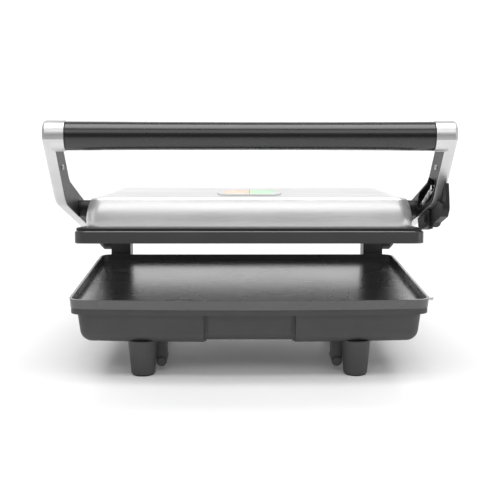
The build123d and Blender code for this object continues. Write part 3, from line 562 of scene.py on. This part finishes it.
def cover_section(thickness):
    """Line up the cover's side, moved inward: bulged wall, round shoulder, bevel and round crown."""
    wall = curve_through(WALL_START, WALL_PULL, WALL_END, 14)
    shoulder = [(wall[-1][0] + e, wall[-1][1] + h) for e, h in arc(SHOULDER_R, *SHOULDER_TURN, 8)]
    crown = arc(CROWN_R, *CROWN_TURN, 5)
    crown_h = COVER_HIGH - crown[-1][1]
    crown_start = (BEVEL_START[0] + (crown_h - BEVEL_START[1]) / math.tan(BEVEL_FALL), crown_h)
    steps = 6
    bevel = []
    for i in range(1, steps + 1):
        bevel.append(tuple(a + (b - a) * i / steps for a, b in zip(shoulder[-1], crown_start)))
    line = wall + shoulder + bevel + [(crown_start[0] + e, crown_h + h) for e, h in crown]
    if not thickness:
        return line
    inner = []
    for k, (e, h) in enumerate(line):
        near, far = line[max(k - 1, 0)], line[min(k + 1, len(line) - 1)]
        run, rise = far[0] - near[0], far[1] - near[1]
        size = math.hypot(run, rise)
        inner.append((e + thickness * rise / size, max(h - thickness * run / size, 0)))
    return inner


def cover_loops(thickness):
    """Loops round the cover from its lower edge to its top."""
    loops = []
    for e, h in cover_section(thickness):
        flat = rounded_loop(COVER_WIDE - 2 * e, COVER_DEEP - 2 * e, COVER_CORNER - 0.2 * e)
        loops.append([lid_point(x, COVER_MIDDLE + y, COVER_FOOT + h) for x, y in flat])
    return loops


def indicator_hole():
    """Cutter through the front bevel, with the outline of the indicator's window."""
    low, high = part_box("indicator_bezel")
    middle = (low + high) / 2
    slope = BEVEL_FALL - LID_TILT
    loops = []
    for up in (-9 * MM, 9 * MM):
        loop = []
        for x, y in rounded_loop(*INDICATOR_HOLE):
            back = y * math.cos(slope) - up * math.sin(slope)
            rise = y * math.sin(slope) + up * math.cos(slope)
            loop.append((x, middle.y + back, middle.z + rise))
        loops.append(loop)
    return loft("indicator_hole", loops)


def boss_hole(side):
    """Cutter for a lid pivot boss; side is -1 on the left."""
    turn = [math.radians(7.5 * i) for i in range(48)]
    ring = [(BOSS_HOLE_R * math.cos(a), BOSS_HOLE_R * math.sin(a)) for a in turn]
    loops = []
    for x in sorted(side * reach for reach in BOSS_HOLE_REACH):
        loops.append([(x, LID_PIVOT.y + y, LID_PIVOT.z + z) for y, z in ring])
    return loft("boss_hole", loops)


def make_lid_cover():
    """Pressed steel cover of the lid, with holes for the indicator and the pivot bosses."""
    inside = list(reversed(cover_loops(SHEET)))
    cover = loft("lid_cover_skin", inside + cover_loops(0))
    cut_away(cover, indicator_hole())
    for side in (-1, 1):
        cut_away(cover, boss_hole(side))
    soften(cover, 30)
    finish_piece(cover, "lid", "cover_steel", "lid_cover")


# ---- spring in the right arm -------------------------------------------------
POST_HEAD_R = 2.3 * MM
POST_R = 1.5 * MM
WIRE_R = 0.42 * MM
COIL_R = 2.35 * MM
COIL_PITCH = 1.3 * MM
COIL_GAP = 4.6 * MM              # post to the first turn
TURN_STEPS = 16


def tube(name, points, radius):
    """Round wire along the points, as a mesh."""
    curve = bpy.data.curves.new(name, "CURVE")
    curve.dimensions = "3D"
    curve.bevel_depth = radius
    curve.bevel_resolution = 3
    curve.use_fill_caps = True
    spline = curve.splines.new("POLY")
    spline.points.add(len(points) - 1)
    for spot, point in zip(spline.points, points):
        spot.co = (*point, 1)
    drawn = bpy.data.objects.new(name + "_line", curve)
    bpy.context.scene.collection.objects.link(drawn)
    mesh = bpy.data.meshes.new_from_object(drawn.evaluated_get(bpy.context.evaluated_depsgraph_get()))
    bpy.data.objects.remove(drawn)
    piece = bpy.data.objects.new(name, mesh)
    bpy.context.scene.collection.objects.link(piece)
    soften(piece)
    return piece


def spring_hook(post, way, across):
    """Open loop round a post; way points to the coil, and across is square to it."""
    radius = POST_R + WIRE_R * 1.1
    spots = []
    for i in range(15):
        a = math.radians(-150 + 300 * i / 14)
        spots.append(post - way * radius * math.cos(a) + across * radius * math.sin(a))
    return spots


def make_lever_spring():
    """Extension spring with a hook round a post at each end."""
    low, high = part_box("spring_posts")
    coil_low, coil_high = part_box("lever_spring")
    x = (coil_low.x + coil_high.x) / 2
    rear = Vector((x, high.y - POST_HEAD_R, low.z + POST_HEAD_R))
    front = Vector((x, low.y + POST_HEAD_R, high.z - POST_HEAD_R))
    along = (front - rear).normalized()
    across = Vector((0, -along.z, along.y))
    outward = Vector((1, 0, 0))
    start, end = rear + along * COIL_GAP, front - along * COIL_GAP
    steps = round((end - start).length / COIL_PITCH) * TURN_STEPS
    coil = []
    for i in range(steps + 1):
        a = 2 * math.pi * i / TURN_STEPS
        coil.append(start.lerp(end, i / steps) + COIL_R * (across * math.cos(a) + outward * math.sin(a)))
    far_hook = list(reversed(spring_hook(front, -along, across)))
    route = spring_hook(rear, along, across) + coil + far_hook
    finish_piece(tube("lever_spring_wire", route, WIRE_R), "arms", "pin_steel", "lever_spring")


# ---- cross-head screws -------------------------------------------------------
TOWER_SCREW_HEAD = 2.6 * MM      # height of a head on the hinge towers
COVER_SCREW_RISE = 0.3 * MM      # how far a cover screw's dome stands past its CAD solid
CROSS_LONG, CROSS_NARROW = 1.15, 0.26             # arms of the cross, as shares of the head's radius


def dome_loops(spot, turn, radius, height):
    """Rings up a domed head with a short straight side."""
    steps = 8
    rings = [(radius, 0.0)]
    for i in range(steps + 1):
        a = math.pi / 2 * i / steps
        rings.append((max(radius * math.cos(a), 0.02 * radius), height * (0.35 + 0.65 * math.sin(a))))
    loops = []
    for r, h in rings:
        circle = [2 * math.pi * k / 32 for k in range(32)]
        loops.append([spot + turn @ Vector((r * math.cos(t), r * math.sin(t), h)) for t in circle])
    return loops


def make_screw_head(name, spot, outward, radius, height):
    """Domed head with a cross recess, seated at the spot and facing outward."""
    spot = Vector(spot)
    turn = Vector(outward).to_track_quat("Z", "Y").to_matrix()
    head = loft(name, dome_loops(spot, turn, radius, height))
    for x_share, y_share in ((CROSS_NARROW, CROSS_LONG), (CROSS_LONG, CROSS_NARROW)):
        x, y = x_share * radius / 2, y_share * radius / 2
        loops = []
        for h, shrink in ((height * 0.45, 0.6), (height * 1.2, 1.0)):
            corners = [(x, y), (-x, y), (-x, -y), (x, -y)]
            loops.append([spot + turn @ Vector((a * shrink, b * shrink, h)) for a, b in corners])
        cut_away(head, loft("cross", loops))
    soften(head, 30)
    return head


def split_parts(node):
    """Lowest and highest corners of each separate solid in a CAD node, sorted by the lowest."""
    mesh = bmesh.new()
    mesh.from_mesh(NODES[node].data)
    bmesh.ops.remove_doubles(mesh, verts=mesh.verts, dist=1e-6)
    left = set(mesh.verts)
    boxes = []
    while left:
        group, queue = set(), [min(left, key=lambda v: v.index)]
        while queue:
            vertex = queue.pop()
            if vertex in group:
                continue
            group.add(vertex)
            queue += [edge.other_vert(vertex) for edge in vertex.link_edges]
        left -= group
        spots = [v.co.copy() for v in group]
        boxes.append(tuple(Vector([pick(p[k] for p in spots) for k in range(3)]) for pick in (min, max)))
    mesh.free()
    return sorted(boxes, key=lambda b: tuple(round(c, 4) for c in b[0]))


def make_screws():
    """Heads of the arm cover screws and of the screws through the hinge towers."""
    for number, (low, high) in enumerate(split_parts("arm_cover_screws")):
        middle = (low + high) / 2
        inward = -1 if middle.x > 0 else 1
        seat = Vector((high.x if middle.x > 0 else low.x, middle.y, middle.z))
        radius, height = (high.z - low.z) / 2, high.x - low.x + COVER_SCREW_RISE
        head = make_screw_head(f"arm_cover_screw_{number}", seat, (inward, 0, 0), radius, height)
        finish_piece(head, "arms", "screw_steel", "arm_cover_screws")
    for number, (low, high) in enumerate(split_parts("tower_screws")):
        middle = (low + high) / 2
        seat = Vector((middle.x, high.y - TOWER_SCREW_HEAD, middle.z))
        radius = (high.z - low.z) / 2
        head = make_screw_head(f"tower_screw_{number}", seat, (0, 1, 0), radius, TOWER_SCREW_HEAD)
        finish_piece(head, "base", "screw_steel", "tower_screws")


# ---- cord gland --------------------------------------------------------------
GLAND_BORE_R, GLAND_NECK_R, GLAND_COLLAR_R = 3.7 * MM, 7 * MM, 9.5 * MM
GLAND_ROOT_R, GLAND_TIP_R = 6.6 * MM, 5.2 * MM    # ribbed tail, at the collar and at its end
GLAND_FLANGE = 2.2 * MM          # places along the gland, from its inner end
GLAND_SEAT = 11.4 * MM
GLAND_COLLAR = 13.4 * MM
GLAND_TAIL = 15.0 * MM
RIBS, RIB_DEPTH = 5, 0.9 * MM


def gland_outline(length):
    """Radius and place along the gland, round its section."""
    line = [
        (GLAND_BORE_R, 0),
        (GLAND_COLLAR_R, 0),
        (GLAND_COLLAR_R, GLAND_FLANGE),
        (GLAND_NECK_R, GLAND_FLANGE),
        (GLAND_NECK_R, GLAND_SEAT),
        (GLAND_COLLAR_R, GLAND_SEAT),
        (GLAND_COLLAR_R, GLAND_COLLAR),
        (GLAND_ROOT_R, GLAND_TAIL),
    ]
    for i in range(RIBS):
        for share, depth in ((0.15, 0), (0.3, RIB_DEPTH), (0.7, RIB_DEPTH), (0.85, 0)):
            t = (i + share) / RIBS
            radius = GLAND_ROOT_R + (GLAND_TIP_R - GLAND_ROOT_R) * t - depth
            line.append((radius, GLAND_TAIL + (length - GLAND_TAIL) * t))
    return line + [(GLAND_TIP_R, length), (GLAND_BORE_R, length)]


def make_cord_gland():
    """Ribbed rubber strain relief round the cord hole at the back."""
    low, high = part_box("cord_gland")
    x, z = (low.x + high.x) / 2, (low.z + high.z) / 2
    circle = [2 * math.pi * k / 48 for k in range(48)]
    loops = []
    for r, y in gland_outline(high.y - low.y):
        loops.append([Vector((x + r * math.cos(a), low.y + y, z + r * math.sin(a))) for a in circle])
    gland = loft("cord_gland_sleeve", loops, closed=True)
    soften(gland, 30)
    finish_piece(gland, "base", "gland_rubber", "cord_gland")


make_camera()
make_studio()
make_backdrop()
make_plastics()
make_coatings()
make_metals()
make_lenses()
paint_nodes()
make_lid_cover()
make_lever_spring()
make_screws()
make_cord_gland()
